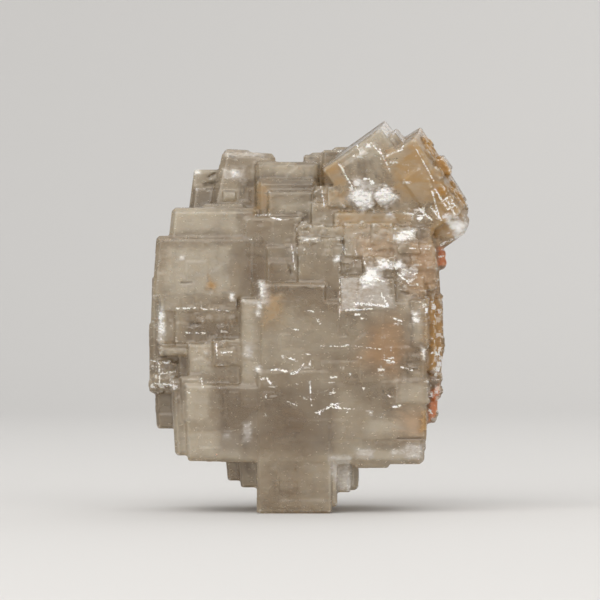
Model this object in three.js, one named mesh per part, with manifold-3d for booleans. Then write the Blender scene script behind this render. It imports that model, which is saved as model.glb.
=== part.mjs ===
// A halite specimen: cubic salt crystals grown together into one stepped, barrel-shaped mass, with a
// second crystal grown in at an angle at its upper right. It stands on the flat end of its lowest block.
// Millimetres, +Z up. The viewer looks along +Y, so "front" is how far a block reaches towards the viewer
// from the middle of the main mass, and "back" how far it reaches away. The finished specimen's origin is
// on the ground, under the middle of the box that just holds it.
import * as THREE from "three";
import { mergeVertices } from "three/addons/utils/BufferGeometryUtils.js";
import Module from "manifold-3d";

// Driving dimensions
const EQUATOR = 32; // height at which the mass is widest
const BARREL = 0.0042; // how fast outer block sides lean in, per millimetre away from the equator
const UPRIGHT = 14; // block sides nearer the middle than this stand upright
const EDGE = 0.4; // chamfer that dissolving has left along a large block's edges
const STEP_EDGE = 0.22; // the same on small steps
const MOSAIC = 0.6; // most that one block is turned against its neighbours, in degrees
const SIDE_CUT = 0.7; // chamfer of a block's outline corners, as a share of its edge chamfer

// The tilted crystal: where its left corner sits, and how it is turned
const TILTED_CORNER = new THREE.Vector3(2.4, -15.6, 67.7);
const TILTED_ROLL = 35.5; // degrees anticlockwise, seen by the viewer
const TILTED_YAW = 12; // degrees that its right side is turned into view
const TILTED_PITCH = 5; // degrees that its lower end leans into the main mass

// Blocks that the viewer sees, from the top of the specimen down. A block with a pitch or a yaw stands
// proud at its top or its left, and fades into its neighbours at the other end.
const TOP_BLOCKS = [
  { x: [-19.1, -7.4], z: [56, 71.6], front: 7, back: 6.6, roll: -4, edge: 1.1 },
  { x: [-18.2, -12], z: [62, 72.1], front: 6.2, back: 4.6, roll: -3, edge: 0.8 },
  { x: [-24, -15], z: [56, 68.1], front: 3.6, back: 5 },
  { x: [-18.6, -12], z: [60, 68.7], front: 2.6, back: 3.4 },
  { x: [-23.6, -16], z: [56, 64.6], front: 4.4, back: 1 },
  { x: [-10.8, 1.7], z: [55, 69.6], front: 8.4, back: 4, edge: 0.7 },
  { x: [-10.6, 1.4], z: [55, 66], front: 10.8, back: 2, edge: 1 },
  { x: [-8.4, 0.6], z: [55, 63.6], front: 12.2, back: 0 },
  { x: [-1.2, 6.4], z: [56, 71.2], front: 3, back: 5.4 },
  { x: [0.2, 9], z: [56, 71.6], front: 1.8, back: 6.4 },
  { x: [2.6, 10], z: [56, 72.1], front: 3.8, back: 2 },
  { x: [4.8, 12], z: [56, 72.7], front: 2.4, back: 4.6 },
];

const UPPER_LEFT_BLOCKS = [
  { x: [-27.8, -10.6], z: [50, 60.3], front: 15, back: 8, edge: 0.9 },
  { x: [-22, -13], z: [52, 61], front: 13.6, back: 6, edge: 0.9 },
  { x: [-30.8, -10.8], z: [42, 54.6], front: 15.6, back: 9, edge: 0.8 },
  { x: [-13, -2], z: [43.8, 58.4], front: 15.4, back: 6 },
  { x: [-8.6, -2.2], z: [44, 52.6], front: 16, back: 6, edge: 0.3 },
];

const LEFT_BLOCKS = [
  { x: [-29.9, -13.4], z: [33, 42.8], front: 14.6, back: 9, edge: 1.1 },
  { x: [-26.8, -13.4], z: [33.4, 40.4], front: 15.3, back: 9, edge: 0.3 },
  { x: [-29.8, -23.8], z: [31, 32.8], front: 15.8, back: 5, edge: 0.5 },
  { x: [-24, -11.8], z: [25, 33.4], front: 17.4, back: 9 },
  { x: [-19.2, -13.2], z: [29.2, 34.2], front: 18, back: 9, edge: 0.3 },
  { x: [-31.6, -24], z: [34.6, 47], front: 7, back: 6, edge: 0.8 },
  { x: [-32, -24], z: [23.4, 38], front: 9.4, back: 8, edge: 1.1 },
  { x: [-30.6, -25.4], z: [25, 29.6], front: 10.6, back: 4 },
  { x: [-30.8, -24], z: [16.3, 26], front: 6.4, back: 7, edge: 0.6 },
];

const CENTRE_BLOCKS = [
  { x: [-10, 3], z: [30, 45.6], front: 18.95, back: 8, edge: 0.5, pitch: 1.2, yaw: 0.8 },
  { x: [-13.7, -9], z: [23, 42.4], front: 18.4, back: 8, pitch: 0.6, yaw: 0 },
  { x: [-2.5, 5.8], z: [38, 54.5], front: 18.3, back: 8, edge: 0.3, pitch: 1, yaw: 0.8 },
  { x: [-2.6, 3], z: [44, 56.9], front: 16.6, back: 8 },
  { x: [3.6, 22.7], z: [38, 47], front: 18.2, back: 9 },
  { x: [6, 16.6], z: [40.2, 46.5], front: 19.2, back: 9, edge: 0.3, pitch: 0.6, yaw: 1 },
  { x: [19.8, 23.2], z: [32.4, 42], front: 19.2, back: 6, edge: 0.3 },
  { x: [16.6, 23.3], z: [21.4, 26.2], front: 19.2, back: 6, edge: 0.3, pitch: -1, yaw: 0 },
];

// The rough ledges under the tilted crystal
const SHOULDER_BLOCKS = [
  { x: [2, 24.6], z: [44, 56.4], front: 16.8, back: 9 },
  { x: [4.6, 20], z: [50, 59.4], front: 15.6, back: 8 },
  { x: [6.6, 15], z: [50.4, 57.2], front: 17.3, back: 6, edge: 0.3 },
  { x: [12.8, 21], z: [52.4, 55.8], front: 17.7, back: 6, edge: 0.3 },
  { x: [16.4, 24.8], z: [45.6, 53.2], front: 17.5, back: 6, edge: 0.4 },
  { x: [19.6, 25], z: [47.8, 50.2], front: 18, back: 6, edge: 0.3 },
  { x: [10.4, 16.6], z: [45, 50.4], front: 18.2, back: 6, edge: 0.3 },
  { x: [0.8, 5], z: [60, 64.6], front: 13.6, back: 4 },
];

const LOWER_BLOCKS = [
  { x: [-27.1, -19.4], z: [11.3, 26.6], front: 17.5, back: 8, edge: 0.7 },
  { x: [-24.3, -9], z: [10.2, 25.4], front: 18.7, back: 8, edge: 0.5, roll: -0.8, pitch: 0, yaw: -0.6 },
  { x: [-25.5, -21], z: [17.8, 27], front: 18, back: 8, edge: 0.5 },
  { x: [-16.8, -11], z: [6.1, 14], front: 9, back: 5 },
  { x: [-14.1, -9.6], z: [4.75, 14], front: 11.4, back: 6 },
  { x: [3.8, 8], z: [4, 14], front: 15.6, back: 4 },
  { x: [6, 9.6], z: [4.3, 14], front: 12, back: 6, edge: 0.8 },
  { x: [3, 22.8], z: [9.6, 20], front: 18.7, back: 8, edge: 1, pitch: -0.3, yaw: 0 },
  { x: [8.6, 15.9], z: [8.9, 20], front: 17.6, back: 6 },
];

// The foot that the specimen stands on and the broad front face above it, left square to the ground
const SQUARE_BLOCKS = [
  { x: [-10.5, 4.3], z: [0, 28.4], front: 19, back: 9.2, edge: 0.5 },
  { x: [-9, 5.4], z: [1.3, 16], front: 17.8, back: 8 },
  { x: [-10, 22.9], z: [14, 42], front: 18.9, back: 9, edge: 0.6 },
];

const RIGHT_BLOCKS = [
  { x: [20, 26.5], z: [31, 42.6], front: 12, back: 5, edge: 0.8 },
  { x: [20, 26.2], z: [22.4, 33], front: 11, back: 8 },
  { x: [20, 25.4], z: [17.6, 24], front: 10.2, back: 5, edge: 0.8 },
  { x: [20, 24.8], z: [28, 39], front: 14, back: 4 },
  { x: [20, 25.8], z: [40, 53], front: 10.6, back: 9 },
  { x: [20, 24.6], z: [38, 48], front: 13.8, back: 9 },
];

// Blocks behind, which the viewer doesn't see
const BACK_BLOCKS = [
  { x: [-26, 22.8], z: [12, 56], front: 12.8, back: 11 },
  { x: [-17, 11], z: [15, 51], front: 0, back: 17.6 },
  { x: [-24.6, -9], z: [25, 47], front: 0, back: 15.4, edge: 0.8 },
  { x: [2, 19.4], z: [13, 35], front: 0, back: 19.4 },
  { x: [-19, 3], z: [41, 59], front: 0, back: 14, edge: 0.9 },
  { x: [8, 22], z: [31, 53.6], front: 0, back: 16.4 },
  { x: [-12.4, 7], z: [7.4, 20], front: 0, back: 13.2 },
  { x: [-25.6, -13], z: [14, 29], front: 0, back: 12.6 },
  { x: [-7.6, 5.6], z: [27, 44.6], front: 0, back: 20.6, edge: 0.8 },
  { x: [-3, 8.4], z: [30, 39.4], front: 0, back: 21, edge: 0.45 },
  { x: [13.4, 24.4], z: [19, 32], front: 0, back: 12 },
  { x: [-14.6, -2], z: [55, 66], front: 0, back: 10, edge: 0.9 },
  { x: [-1.4, 11], z: [50, 64.4], front: 0, back: 12.4, edge: 0.8 },
  { x: [4, 17], z: [52, 61], front: 0, back: 9.6 },
  { x: [-29.4, -22], z: [28, 44], front: 0, back: 12.2, edge: 0.8 },
  { x: [-30.4, -24], z: [31, 39.6], front: 0, back: 9.8 },
  { x: [-27.6, -18], z: [40, 52.4], front: 0, back: 11.4, edge: 0.7 },
  { x: [18, 25.6], z: [26, 46], front: 0, back: 11.6, edge: 0.7 },
  { x: [-6.8, 3], z: [3.2, 14], front: 0, back: 12 },
  { x: [-14.8, -4], z: [20.6, 33], front: 0, back: 18.8, edge: 0.45 },
  { x: [9.4, 16.6], z: [18.4, 27.6], front: 0, back: 20.2, edge: 0.45 },
  { x: [-13, -5.4], z: [43, 53.6], front: 0, back: 16.2, edge: 0.45 },
  { x: [6, 15.2], z: [42, 50.4], front: 0, back: 18, edge: 0.45 },
];

// The tilted crystal's blocks, in its own frame: x runs from its left corner along its upper edge, z is
// up its left side from that corner, and depth is how far in from its face a block starts and ends.
const TILTED_BLOCKS = [
  { x: [0, 14.2], z: [-19, 0], depth: [0, 11.6] },
  { x: [1.4, 15], z: [-20, -3], depth: [1.2, 13.4] },
  { x: [13, 15.7], z: [-16, -2.4], depth: [2.4, 8] },
  { x: [6.4, 18], z: [-22.6, -5.1], depth: [-0.5, 15.2], roll: -4 },
  { x: [8, 17], z: [-21.6, -6.6], depth: [1, 17] },
  { x: [9.6, 17.6], z: [-16.6, -10.6], depth: [3.4, 17.6], edge: 0.4 },
  { x: [9, 16.6], z: [-25.2, -15], depth: [2.4, 15.4], edge: 1 },
  { x: [7.4, 15.9], z: [-27, -14], depth: [1.6, 13.4], edge: 1.3 },
  { x: [3.2, 11.8], z: [-9.2, -1.6], depth: [-0.5, 8], edge: 0.35 },
  { x: [4.8, 8.5], z: [-13.4, -9.4], depth: [-0.9, 8], edge: 0.5 },
  { x: [1.4, 5.4], z: [-12.2, -8], depth: [-0.6, 8], edge: 0.5 },
  { x: [11.6, 16.4], z: [-18.2, -10.4], depth: [-1.1, 8], edge: 0.5 },
];

// Rounded lumps of red salt on the right side, each [x, y, z, radius], flattened against that side
const RED_LUMPS = [
  [26, -8.4, 51.1, 1.4],
  [26.1, -7.6, 49.4, 1.5],
];
const LUMP_STAND = 0.8; // how far a lump stands out, as a share of its radius

// Growth steps scattered over the sides, top and back of the blocks behind
const STEPS_PER_BLOCK = 5;
const STEP_RISE = [0.3, 0.8]; // how proud of its block a step stands
const STEP_SHARE = [0.22, 0.6]; // how much of the block's side it covers, each way
const STEP_ROOT = 1.2; // how deep in its block a step starts
const STEP_SIDES = ["left", "right", "top", "back", "back"];

// A generator of repeatable numbers from 0 to 1
function numbers(seed) {
  let state = seed;
  return () => {
    state = (state * 1664525 + 1013904223) % 4294967296;
    return state / 4294967296;
  };
}

const between = ([low, high], share) => low + (high - low) * share;
const radians = THREE.MathUtils.degToRad;

// A box with chamfered edges. Its outer sides lean in away from the equator.
function blockGeometry({ x, z, front, back, edge = EDGE }, barrel = BARREL) {
  const [left, right] = x;
  const [bottom, top] = z;
  const middle = (bottom + top) / 2;
  const lean = barrel * (middle - EQUATOR);
  const cut = edge * SIDE_CUT;
  const leftAt = (height) => left + (left < -UPRIGHT ? lean * (height - middle) : 0);
  const rightAt = (height) => right - (right > UPRIGHT ? lean * (height - middle) : 0);
  const outline = new THREE.Shape([
    new THREE.Vector2(leftAt(bottom) + cut, bottom),
    new THREE.Vector2(rightAt(bottom) - cut, bottom),
    new THREE.Vector2(rightAt(bottom), bottom + cut),
    new THREE.Vector2(rightAt(top), top - cut),
    new THREE.Vector2(rightAt(top) - cut, top),
    new THREE.Vector2(leftAt(top) + cut, top),
    new THREE.Vector2(leftAt(top), top - cut),
    new THREE.Vector2(leftAt(bottom), bottom + cut),
  ]);
  const geometry = new THREE.ExtrudeGeometry(outline, {
    depth: front + back - 2 * edge,
    bevelThickness: edge,
    bevelSize: edge,
    bevelOffset: -edge,
    bevelSegments: 1,
  });
  // The outline was drawn upright in its own plane and extruded towards the viewer.
  return geometry.translate(0, 0, edge - back).rotateX(Math.PI / 2);
}

// The block turned a little about its own middle, as crystals of one mass are.
function turned(geometry, { x, z, front, back, roll = 0 }, pitch, yaw) {
  const centre = new THREE.Vector3((x[0] + x[1]) / 2, (back - front) / 2, (z[0] + z[1]) / 2);
  const turn = new THREE.Matrix4().makeRotationFromEuler(
    new THREE.Euler(radians(pitch), radians(-roll), radians(yaw)),
  );
  return geometry
    .translate(-centre.x, -centre.y, -centre.z)
    .applyMatrix4(turn)
    .translate(centre.x, centre.y, centre.z);
}

const wasm = await Module();
wasm.setup();

// A closed geometry as a solid that can be joined.
function solidOf(geometry) {
  const plain = geometry.index ? geometry.toNonIndexed() : geometry;
  const bare = new THREE.BufferGeometry().setAttribute("position", plain.getAttribute("position"));
  const merged = mergeVertices(bare, 1e-5);
  return new wasm.Manifold(
    new wasm.Mesh({
      numProp: 3,
      vertProperties: new Float32Array(merged.attributes.position.array),
      triVerts: new Uint32Array(merged.index.array),
    }),
  );
}

// One small step on a side of a block, its edges along the block's.
function stepOn(block, side, random) {
  const rise = between(STEP_RISE, random());
  const spans = {
    x: [block.x[0], block.x[1]],
    y: [-block.front, block.back],
    z: [block.z[0], block.z[1]],
  };
  for (const axis of ["x", "y", "z"]) {
    const [low, high] = spans[axis];
    const size = (high - low) * between(STEP_SHARE, random());
    const start = low + STEP_EDGE + (high - low - size - 2 * STEP_EDGE) * random();
    spans[axis] = [start, start + size];
  }
  const outer = {
    left: () => (spans.x = [block.x[0] - rise, block.x[0] + STEP_ROOT]),
    right: () => (spans.x = [block.x[1] - STEP_ROOT, block.x[1] + rise]),
    top: () => (spans.z = [block.z[1] - STEP_ROOT, block.z[1] + rise]),
    back: () => (spans.y = [block.back - STEP_ROOT, block.back + rise]),
  };
  outer[side]();
  return { x: spans.x, z: spans.z, front: -spans.y[0], back: spans.y[1], edge: STEP_EDGE };
}

function mainMass() {
  const random = numbers(7);
  const tilt = () => MOSAIC * (2 * random() - 1);
  const shown = [
    ...TOP_BLOCKS,
    ...UPPER_LEFT_BLOCKS,
    ...LEFT_BLOCKS,
    ...CENTRE_BLOCKS,
    ...SHOULDER_BLOCKS,
    ...LOWER_BLOCKS,
    ...RIGHT_BLOCKS,
  ];
  const solids = [...shown, ...BACK_BLOCKS].map((block) => {
    const { pitch = tilt(), yaw = tilt() } = block;
    return solidOf(turned(blockGeometry(block), block, pitch, yaw));
  });
  for (const block of SQUARE_BLOCKS) solids.push(solidOf(blockGeometry(block, 0)));
  for (const block of BACK_BLOCKS)
    for (let i = 0; i < STEPS_PER_BLOCK; i += 1) {
      const step = stepOn(block, STEP_SIDES[i % STEP_SIDES.length], random);
      solids.push(solidOf(turned(blockGeometry(step), step, 0, 0)));
    }
  return solids;
}

function tiltedCrystal() {
  const place = new THREE.Matrix4()
    .makeTranslation(TILTED_CORNER)
    .multiply(new THREE.Matrix4().makeRotationY(radians(-TILTED_ROLL)))
    .multiply(new THREE.Matrix4().makeRotationZ(radians(-TILTED_YAW)))
    .multiply(new THREE.Matrix4().makeRotationX(radians(TILTED_PITCH)));
  return TILTED_BLOCKS.map(({ depth, ...rest }) => {
    const block = { ...rest, front: -depth[0], back: depth[1] };
    return solidOf(turned(blockGeometry(block, 0), block, 0, 0).applyMatrix4(place));
  });
}

function redLumps() {
  return RED_LUMPS.map(([x, y, z, radius]) =>
    solidOf(new THREE.IcosahedronGeometry(radius, 1).scale(LUMP_STAND, 1, 1).translate(x, y, z)),
  );
}

// Every block joined into one closed geometry.
function joined(solids) {
  const mesh = solids.reduce((whole, solid) => whole.add(solid)).getMesh();
  const corners = new Float32Array(mesh.numVert * 3);
  for (let i = 0; i < mesh.numVert; i += 1)
    corners.set(mesh.vertProperties.subarray(i * mesh.numProp, i * mesh.numProp + 3), i * 3);
  return new THREE.BufferGeometry()
    .setAttribute("position", new THREE.BufferAttribute(corners, 3))
    .setIndex(new THREE.BufferAttribute(mesh.triVerts, 1));
}

// Moves a geometry sideways until the box that just holds it is centred over the origin.
function centred(geometry) {
  geometry.computeBoundingBox();
  const middle = geometry.boundingBox.getCenter(new THREE.Vector3());
  return geometry.translate(-middle.x, -middle.y, 0);
}

const salt = new THREE.MeshStandardMaterial({ color: 0xb0a38c, roughness: 0.3, metalness: 0 });
const form = centred(joined([...mainMass(), ...tiltedCrystal(), ...redLumps()]));
const crystal = new THREE.Mesh(form, salt);
crystal.name = "halite_crystal";

const specimen = new THREE.Group();
specimen.add(crystal);

export default specimen;
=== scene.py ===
"""Looks of a halite specimen: grown-together salt cubes, milky, partly see-through and stained."""

import math

import bmesh
import bpy
import numpy as np
from mathutils import Euler, Matrix, Vector
from mathutils.bvhtree import BVHTree


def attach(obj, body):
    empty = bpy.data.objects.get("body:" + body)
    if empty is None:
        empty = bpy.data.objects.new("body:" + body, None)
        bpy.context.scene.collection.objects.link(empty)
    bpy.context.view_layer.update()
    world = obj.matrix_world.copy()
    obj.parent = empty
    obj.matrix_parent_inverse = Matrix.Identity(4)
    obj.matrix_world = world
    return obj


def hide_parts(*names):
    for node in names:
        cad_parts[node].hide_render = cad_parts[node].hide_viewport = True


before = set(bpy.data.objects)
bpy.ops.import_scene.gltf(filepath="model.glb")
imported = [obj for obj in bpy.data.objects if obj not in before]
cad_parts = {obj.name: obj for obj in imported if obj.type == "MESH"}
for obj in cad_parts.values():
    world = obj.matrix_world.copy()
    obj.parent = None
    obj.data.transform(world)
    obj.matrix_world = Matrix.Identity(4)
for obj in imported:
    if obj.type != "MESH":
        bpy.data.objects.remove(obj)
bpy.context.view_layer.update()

NODE = "halite_crystal"
MM = 0.001

# The fine surface
VOXEL = 0.26  # its spacing, in millimetres
ROUNDING_STEPS = 1  # smoothing passes that round the crystal edges as dissolving has
# Convexity passes for the painted highlight along the edges
EDGE_HIGHLIGHT_PASSES = 3  # rings of neighbours that tell how far an edge stands out
SHARP_ANGLE = 40  # edges sharper than this many degrees are shaded as sharp
FACE_LIMIT = 190000  # triangles left in the finished crystal
THIN_LEVELS = 5  # grades of thinning from the faces at the front to all others
THIN_BELOW = 0.2  # faces whose normals have less than this share forwards are thinned most
THIN_STRENGTH = 2.0  # how much the grades count

# Growth steps. A side is the number of an axis and the way it looks along that axis
FRONT = (1, -1)
STEP_COUNTS = {FRONT: 80, (1, 1): 170, (0, 1): 100, (0, -1): 100, (2, 1): 90, (2, -1): 40}
TILTED_STEP_SHARE = 0.3  # how many of these the tilted crystal's sides have besides
BROKEN_STEP_COUNT = 160  # small steps on the broken faces
STEPS = (0.5, 7.0, 0.09)  # smallest and largest half length and the highest rise, in millimetres
SMALL_STEPS = (0.3, 1.8, 0.14)  # the same where the face is broken
STEP_LIMIT = 0.5  # most that all steps together raise or sink the surface, in millimetres
SAME_FACE = 0.5  # how much in millimetres the depth of one face may vary under a step
SQUARE_ON = 0.9  # a face belongs to a side when its normal has more than this share along it
SLENDERNESS = (0.12, 0.7)  # a step's short side as a share of its long side
UPRIGHT_SHARE = 0.3  # share of the steps that stand upright
LEAST_RISE = 0.2  # the lowest rise as a share of the highest
SIDE_SEED = 31  # the random seeds of two sides lie this far apart
BROKEN_SEED = 7

# Crumbs
CRUMB_SEED = 5
CRUMB_STAND = 0.28  # most that a crumb stands out of its face, in millimetres
LEAST_STAND = 0.3  # least that it stands out, as a share of the most
SHORTEST_SIDE = 0.4  # a crumb's shortest side as a share of the longest
TILTED_ABOVE = 60  # places whose middle is higher than this, in millimetres, are on the tilted crystal
TILTED_RIGHT_OF = 26  # and so are those whose middle is farther right than this
WELL_IN_FRONT = -1.0  # a depth in metres in front of everything

# Marks, in millimetres
MARK_REACH = 1.5  # how far on both sides of a mark's outline its field goes from 0 to 1
ZONE_REACH = 3.2  # the same for a soft zone
LINE_REACH = 0.45  # the same for both sides of a crack's edge together
MARK_DEPTH = 6.0  # how far back from the middle the marks go on
STAIN_DEPTH = 26.0  # the same for stains, which go round the right side
DEPTH_FADE = 4.0  # the stretch over which they fade out there
BEYOND_FADE = 6.0  # the stretch over which the unmarked half begins
CRACK_DEPTH = 0.4  # how deep the dark cracks are
LOOKS_FORWARD = 0.3  # cracks lie on faces whose normals have more than this share forwards

# The tilted crystal's turn in degrees, as the solid has it
TILTED_ROLL = 35.5
TILTED_YAW = 12
TILTED_PITCH = 5

# Camera: a long lens level with the middle of the specimen
FRAME_WIDTH = 120 * MM  # how much of the object's plane the picture takes in
VIEW_CENTRE = Vector((-1.92, -6, 42)) * MM
SENSOR = 36.0
LENS = 250.0
FARTHEST = 20  # how far the camera sees, in metres

# Backdrop: paper on the floor that sweeps up behind the specimen, in metres
FLOOR_FROM = -1.6
FLOOR_TO = 0.7
SWEEP_RADIUS = 0.5
SWEEP_PARTS = 16
PAPER_HEIGHT = 2.2
PAPER_HALF_WIDTH = 2.2
PAPER = (0.6, 0.595, 0.585, 1)
PAPER_ROUGHNESS = 0.8

# Soft square lights: place and side in metres, power in watts, colour
LAMPS = {
    "key": ((-0.5, -0.9, 0.75), 1.5, 15.6, (1.0, 0.965, 0.93)),
    "fill": ((0.8, -0.8, 0.35), 1.3, 7.4, (1.0, 0.955, 0.91)),
    "top": ((0.0, 0.1, 0.9), 1.3, 4.2, (1.0, 0.98, 0.95)),
    "behind": ((0.45, 0.7, 0.7), 1.0, 2.4, (1.0, 0.98, 0.96)),
}
ROOM_COLOUR = (0.9, 0.92, 0.95, 1)
ROOM_STRENGTH = 0.35

# Colours of the salt, as light that comes back
TAN = (0.4, 0.315, 0.215, 1)
GREIGE = (0.47, 0.41, 0.31, 1)
# Milky clouds of the salt, and painted light on the pale zones
MILK_AND_PAINTED_LIGHT = (0.66, 0.61, 0.5, 1)
# Darker random tone of the salt's blocks, and painted shade on the dark zones
DARK_TONE_AND_PAINTED_SHADE = (0.17, 0.125, 0.085, 1)
WARM = (0.47, 0.255, 0.1, 1)
AMBER = (0.3, 0.15, 0.02, 1)
RUST = (0.48, 0.165, 0.06, 1)
DARK = (0.08, 0.06, 0.04, 1)
HONEY = (0.44, 0.255, 0.075, 1)
HAZE = (0.78, 0.77, 0.77, 1)
# White veils and sugary grains, and painted highlights along edges and painted glints from cracks and
# flakes
WHITE = (0.88, 0.88, 0.86, 1)

# How light goes through the salt
CLEARNESS = 0.78  # share of the light that goes on through clear salt
IOR = 1.544
ABSORPTION_COLOUR = (0.66, 0.5, 0.28, 1)
ABSORPTION_DENSITY = 22  # per metre
SCATTERING = 0.45  # share of the light thrown back that comes from below the surface
SCATTERING_RADIUS = (1.0, 0.8, 0.55)  # how far red, green and blue go below it
SCATTERING_DEPTH = 0.006  # what a radius of 1 is, in metres
BUMP_STRENGTH = 0.15
BUMP_HEIGHT = 0.2 * MM
BLOCK_BUMP = 0.35  # how much the small blocks count in the bumps

# Noises of the salt: cells per metre, how much closer they lie upwards, detail, roughness, distortion
NOISES = {
    "cloud": (60, 1, 4, 0.55, 0),
    "drift": (190, 2.2, 5, 0.65, 0.8),
    "fine": (1000, 1.8, 4, 0.65, 0),
    "grit": (3000, 1, 3, 0.65, 0),
    "stain": (44, 1, 4, 0.6, 0),
    "mist": (82, 1.5, 4, 0.65, 0),
}
FINE_SHARE = 0.7  # how much the fine noise counts beside the drift in what breaks up the outlines

# Box-shaped cells of the salt: how many per metre across, in depth and upwards
LARGE_BLOCK_CELLS = (160, 100, 260)
SMALL_BLOCK_CELLS = (500, 300, 800)
BLOCK_RANDOMNESS = 0.8  # of the salt's blocks: 0 is an even grid
SUGAR_CELLS = (850, 450, 950)
# cells of the flakes painted as glints of light
LEVEL_FLAKE_CELLS = (420, 250, 1300)
UPRIGHT_FLAKE_CELLS = (1500, 250, 600)

# Flakes painted white as glints of light, and sugary grains, as shares of their cells
SMALLEST_FLAKE = 0.04
LARGEST_FLAKE = 0.3
LARGEST_GRAIN = 0.6  # the same for sugary grains
FLAKE_RAGGEDNESS = 0.9
FLAKE_EDGE = 0.06
FAINTEST_FLAKE = 0.25  # the faintest one's strength

# How a mark's outline is broken up: how far noise moves it, and half the width of its soft edge
MARK_EDGES = {
    "pale": (0.25, 0.16),
    "dark": (0.25, 0.2),
    "warm": (0.7, 0.45),
    "honey": (0.7, 0.4),
    "haze": (0.5, 0.2),
    "amber": (0.8, 0.25),
    "red": (0.7, 0.2),
    "veil": (0.6, 0.2),
    "sugar": (1.2, 0.2),
}
# Patches at random on the half that no mark describes: their noise, and where they begin and are full
FAR_PATCHES = {
    "pale": ("mist", 0.46, 0.6),
    "dark": ("stain", 0.42, 0.3),
    "honey": ("stain", 0.48, 0.6),
    "veil": ("mist", 0.6, 0.72),
    "flawed": ("stain", 0.35, 0.7),
}


def block(x0, z0, x1, z1):
    """The corners of an upright block, from its lower left to its upper right."""
    return ((x0, z0), (x1, z0), (x1, z1), (x0, z1))


# Where marks lie on the front half: corners (x, z) in millimetres
WHITE_VEILS = {
    "left lump of the tilted crystal": ((7.6, 62), (9.3, 64.1), (12.3, 63.2), (12.4, 60), (10, 59.8)),
    "right lump of the tilted crystal": ((12.4, 62.4), (14.9, 64.8), (17.6, 62.2), (15.1, 59.9)),
    "big veil's core": ((9.9, 45.4), (11.3, 48.2), (13, 47.8), (13.6, 45.6), (12.2, 44.4), (10.2, 43.8)),
    "crumbs above the big veil": block(13.3, 48.2, 17.9, 49.8),
    "under the tilted crystal": ((16.7, 54.2), (18.1, 56.1), (21.1, 56.3), (20.5, 53.8), (17.7, 53.4)),
    "tilted crystal's foot": ((27.2, 57.6), (29.4, 57.8), (31.2, 56.6), (31, 55.4), (28.8, 54.8)),
    "corner of the middle block": block(-10.0, 42.6, -9.0, 45.6),
    "below that corner": block(-10.6, 38.8, -9.6, 41.4),
    "bright ledge high in the middle": block(-1.9, 53.6, 2.1, 54.4),
    "spot on the right": ((21.7, 33), (22.9, 32.6), (23.1, 30), (22.3, 29.8)),
    "left end of the crack line": block(-10.6, 27.5, -9.7, 28.8),
    "dot on the upper left face": block(-25.5, 50.0, -24.9, 50.6),
    "dot left of the middle block": block(-15.7, 42.1, -15.0, 43.2),
    "top of the pale strip": block(20.2, 37.6, 21.4, 39.6),
    "cluster at the shoulder's left": block(4.9, 49.7, 6.2, 51.2),
    "spot high on the left": block(-15.5, 66.4, -14.2, 67.8),
    "tip of the upper left block": block(-23.1, 67.1, -21.8, 68.2),
    "crumb under the right lump": block(15.2, 58.4, 16.5, 59.6),
    "left edge of the left middle": block(-29.9, 34.0, -28.9, 39.6),
}
# Painted light: zones made paler where the faces catch more light, among them places in the shade of the
# tilted crystal
PAINTED_LIGHT_ZONES = {
    "block right of the big veil": block(18.3, 39.8, 20.0, 42.8),
    "under the tilted crystal's left corner": block(2.2, 60.4, 8.4, 64.2),
    "under the tilted crystal": block(7.0, 57.0, 19.0, 59.6),
    "bottom right": block(9.0, 10.0, 22.6, 13.0),
    "shoulder": block(6.0, 50.0, 18.0, 57.0),
    "pale strip on the right": block(20.4, 33.4, 22.6, 41.6),
    "pale block low on the right": block(17.2, 21.7, 22.6, 25.6),
    "step left of the middle block": block(-13.1, 25.8, -10.7, 41.8),
    "upper left plateau": ((-27.2, 59.8), (-14.2, 60), (-14.2, 55.4), (-28.6, 55)),
    "upper left face": block(-28.4, 43.0, -15.6, 52.6),
    "lower left face": ((-24.8, 26.2), (-19.4, 25.8), (-19.7, 18.2), (-24.4, 18.2)),
    "bottom left face": block(-25.6, 11.2, -13.4, 16.4),
    "ledge of the top left block": block(-16.7, 62.2, -15.1, 63.4),
    "left block": block(-23.7, 27.8, -19.5, 33.2),
    "patch beside the left block": block(-17.7, 31.0, -14.9, 32.6),
    "worn left edge": block(-30.0, 33.4, -28.5, 40.6),
    "ledge low on the left": block(-29.4, 31.2, -23.9, 32.2),
    "tilted crystal's middle": ((14.3, 73), (18.9, 72.6), (17.9, 69.4), (15.5, 67.4)),
    "tilted crystal's upper left": ((3.6, 68.8), (14.8, 77), (18, 74), (15, 70.4), (8.4, 68.4)),
    "low on the right": block(11.0, 15.6, 21.0, 18.8),
    "beside the foot": block(3.6, 4.0, 8.4, 11.6),
    "lower part of the top middle block": block(-6.4, 59.6, 0.6, 61.6),
    "stripe along the top middle block": block(-8.4, 67.0, 1.6, 69.0),
}
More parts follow.
